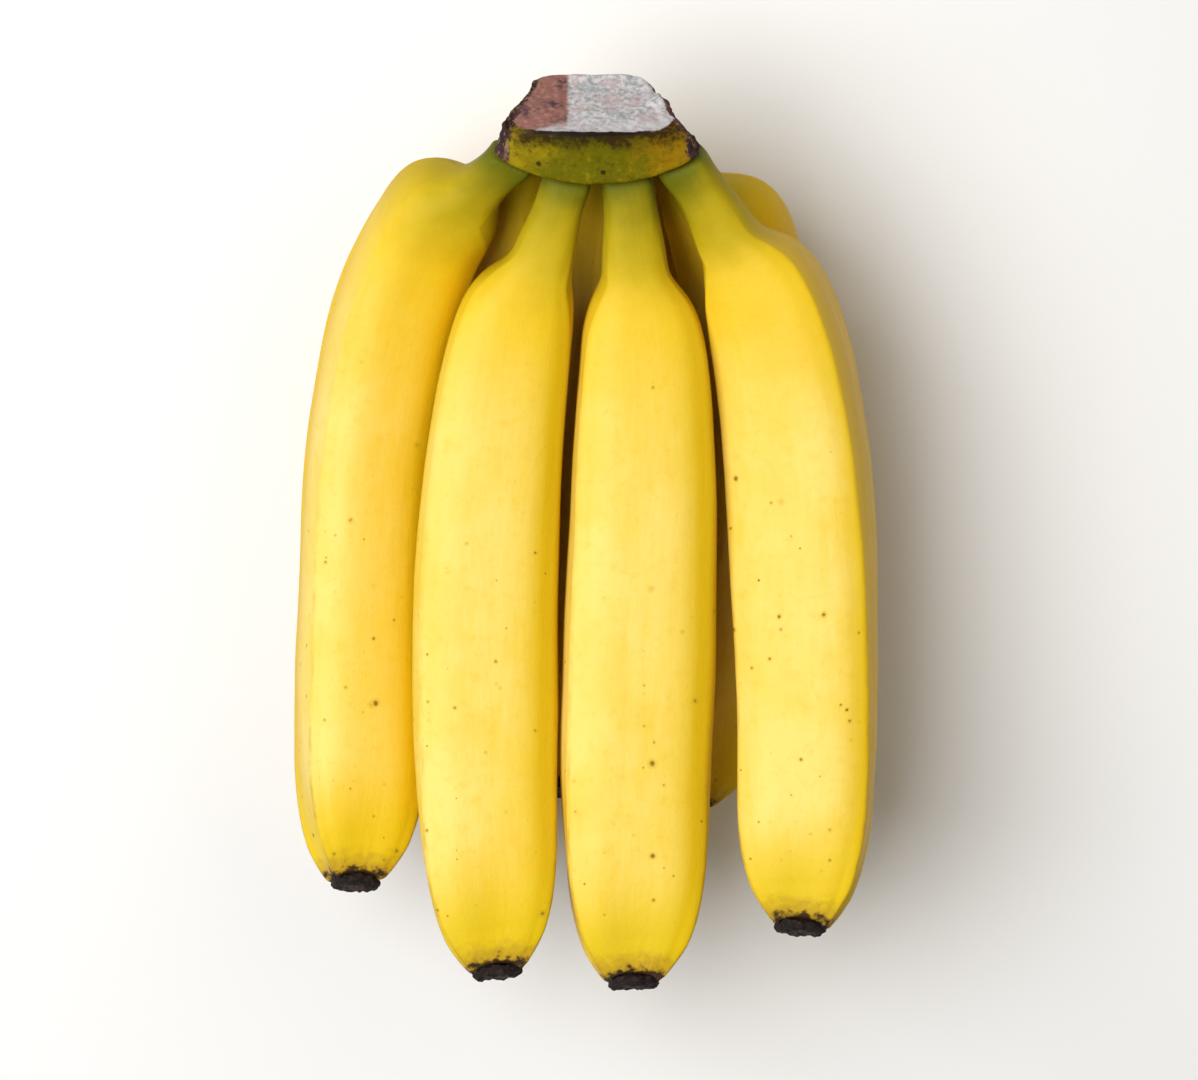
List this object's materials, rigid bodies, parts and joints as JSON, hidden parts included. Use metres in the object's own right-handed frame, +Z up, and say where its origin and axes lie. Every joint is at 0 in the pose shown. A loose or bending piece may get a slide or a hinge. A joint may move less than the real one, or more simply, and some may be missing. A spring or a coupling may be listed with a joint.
{
  "type": "bunch of bananas",
  "caption": "Hand of ripe yellow bananas joined at one cut crown, in two rows, lying on its curved backs with the fruit ends and the crown raised.",
  "frame": {"origin": "on the surface the hand lies on, under the middle of its bounding box", "axes": "+Z up from the surface, +Y from the fruit tips to the crown, +X to the right as one looks down on the hand with the crown at the top"},
  "size_m": [0.147, 0.225, 0.0863],
  "materials": {
    "peel": "ripe banana peel, satin with a waxy sheen, greenish yellow at the neck",
    "crown": "cut banana stem, olive to brown, matt, with a dry grey cut face",
    "dried_tip": "dried flower scar, black-brown and rough"
  },
  "bodies": {
    "root": {"crown": "crown", "banana_front_1": "peel", "dried_tip_front_1": "dried_tip", "banana_front_2": "peel", "dried_tip_front_2": "dried_tip", "banana_front_3": "peel", "dried_tip_front_3": "dried_tip", "banana_front_4": "peel", "dried_tip_front_4": "dried_tip", "banana_back_1": "peel", "dried_tip_back_1": "dried_tip", "banana_back_2": "peel", "dried_tip_back_2": "dried_tip", "banana_back_3": "peel", "dried_tip_back_3": "dried_tip"}
  },
  "joints": []
}
